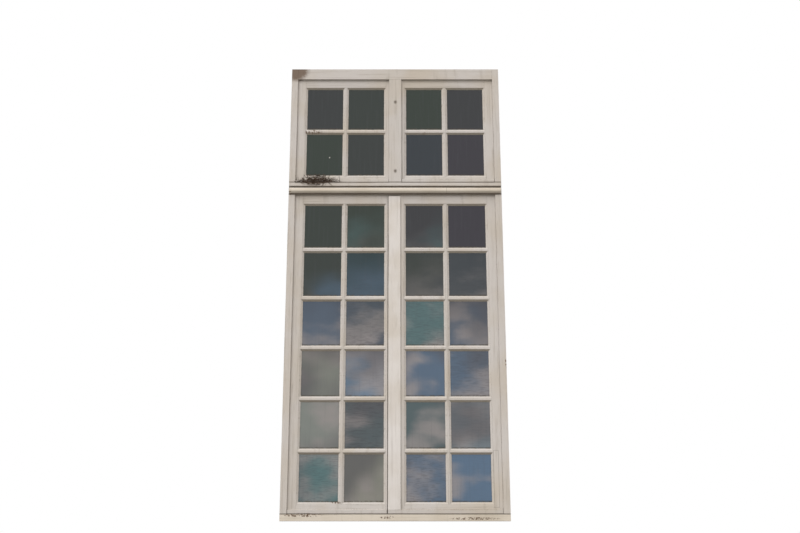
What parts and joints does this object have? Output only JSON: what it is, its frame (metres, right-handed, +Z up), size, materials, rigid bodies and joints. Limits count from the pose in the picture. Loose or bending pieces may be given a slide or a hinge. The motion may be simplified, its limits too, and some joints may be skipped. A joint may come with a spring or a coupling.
{
  "type": "french casement window with transom lights",
  "caption": "Tall painted timber casement window in its frame: two glazed leaves with a rounded meeting joint, transom lights above, hinges, sliding bolts and turn buttons.",
  "frame": {"origin": "middle of the sill's underside, half way through the frame's depth", "axes": "+X to the right seen from outside, +Y into the room, +Z up"},
  "size_m": [1.8, 0.1528, 3.832],
  "materials": {
    "painted_timber": "aged off-white oil paint, grimy in the joints",
    "old_glass": "slightly uneven old window glass",
    "putty": "painted linseed putty",
    "painted_iron": "painted over with the woodwork",
    "blackened_iron": "blackened, rubbed at the edges",
    "brass": "dull"
  },
  "bodies": {
    "frame": {"sill": "painted_timber", "left_jamb": "painted_timber", "right_jamb": "painted_timber", "head": "painted_timber", "transom": "painted_timber", "transom_nosing": "painted_timber", "mullion": "painted_timber", "frame_hinge_halves": "painted_iron", "bolt_keepers": "blackened_iron", "button_bolts": "painted_iron", "button_nuts": "blackened_iron"},
    "right_leaf": {"right_leaf_hinge_stile": "painted_timber", "right_leaf_meeting_stile": "painted_timber", "right_leaf_bottom_rail": "painted_timber", "right_leaf_top_rail": "painted_timber", "right_leaf_vertical_bar": "painted_timber", "right_leaf_cross_bars": "painted_timber", "right_leaf_panes": "old_glass", "right_leaf_putty": "putty", "right_leaf_hinge_halves": "painted_iron", "meeting_cover_strip": "painted_timber", "bolt_case": "blackened_iron", "bolt_rod_guides": "blackened_iron"},
    "left_leaf": {"left_leaf_hinge_stile": "painted_timber", "left_leaf_meeting_stile": "painted_timber", "left_leaf_bottom_rail": "painted_timber", "left_leaf_top_rail": "painted_timber", "left_leaf_vertical_bar": "painted_timber", "left_leaf_cross_bars": "painted_timber", "left_leaf_panes": "old_glass", "left_leaf_putty": "putty", "left_leaf_hinge_halves": "painted_iron"},
    "upper_right_leaf": {"upper_right_leaf_hinge_stile": "painted_timber", "upper_right_leaf_meeting_stile": "painted_timber", "upper_right_leaf_bottom_rail": "painted_timber", "upper_right_leaf_top_rail": "painted_timber", "upper_right_leaf_vertical_bar": "painted_timber", "upper_right_leaf_cross_bars": "painted_timber", "upper_right_leaf_panes": "old_glass", "upper_right_leaf_putty": "putty", "upper_right_leaf_hinge_halves": "painted_iron"},
    "upper_left_leaf": {"upper_left_leaf_hinge_stile": "painted_timber", "upper_left_leaf_meeting_stile": "painted_timber", "upper_left_leaf_bottom_rail": "painted_timber", "upper_left_leaf_top_rail": "painted_timber", "upper_left_leaf_vertical_bar": "painted_timber", "upper_left_leaf_cross_bars": "painted_timber", "upper_left_leaf_panes": "old_glass", "upper_left_leaf_putty": "putty", "upper_left_leaf_hinge_halves": "painted_iron"},
    "top_rod": {"top_bolt_rod": "blackened_iron"},
    "bottom_rod": {"bottom_bolt_rod": "blackened_iron"},
    "knob": {"bolt_knob": "blackened_iron", "bolt_pinion": "brass"},
    "lower_button": {"lower_turn_button": "blackened_iron"},
    "upper_button": {"upper_turn_button": "blackened_iron"}
  },
  "joints": [
    {"name": "right_leaf_hinge", "type": "hinge", "parent": "frame", "child": "right_leaf", "pos_m": [0.8585, 0.0415, 1.364], "axis": [0, 0, -1], "range_deg": [0, 90]},
    {"name": "left_leaf_hinge", "type": "hinge", "parent": "frame", "child": "left_leaf", "pos_m": [-0.8585, 0.0415, 1.364], "axis": [0, 0, 1], "range_deg": [0, 102]},
    {"name": "upper_right_leaf_hinge", "type": "hinge", "parent": "frame", "child": "upper_right_leaf", "pos_m": [0.8585, 0.0415, 3.26], "axis": [0, 0, -1], "range_deg": [0, 100]},
    {"name": "upper_left_leaf_hinge", "type": "hinge", "parent": "frame", "child": "upper_left_leaf", "pos_m": [-0.8585, 0.0415, 3.26], "axis": [0, 0, 1], "range_deg": [0, 100]},
    {"name": "top_rod_slide", "type": "slide", "parent": "right_leaf", "child": "top_rod", "axis": [0, 0, 1], "range_m": [0, 0.0251]},
    {"name": "bottom_rod_slide", "type": "slide", "parent": "right_leaf", "child": "bottom_rod", "axis": [0, 0, -1], "range_m": [0, 0.0252]},
    {"name": "knob_turn", "type": "hinge", "parent": "right_leaf", "child": "knob", "pos_m": [0.016, 0.044, 1.1], "axis": [0, 1, 0], "range_deg": [0, 180]},
    {"name": "lower_button_turn", "type": "hinge", "parent": "frame", "child": "lower_button", "pos_m": [0, 0.038, 2.896], "axis": [0, 1, 0], "range_deg": [0, 90]},
    {"name": "upper_button_turn", "type": "hinge", "parent": "frame", "child": "upper_button", "pos_m": [0, 0.038, 3.53], "axis": [0, 1, 0], "range_deg": [0, 90]}
  ],
  "couplings": [
    {"joint": "left_leaf_hinge", "follows": "right_leaf_hinge", "ratio": 1.1237},
    {"joint": "bottom_rod_slide", "follows": "top_rod_slide", "ratio": 1},
    {"joint": "knob_turn", "follows": "top_rod_slide", "rad_per_m": 125}
  ]
}
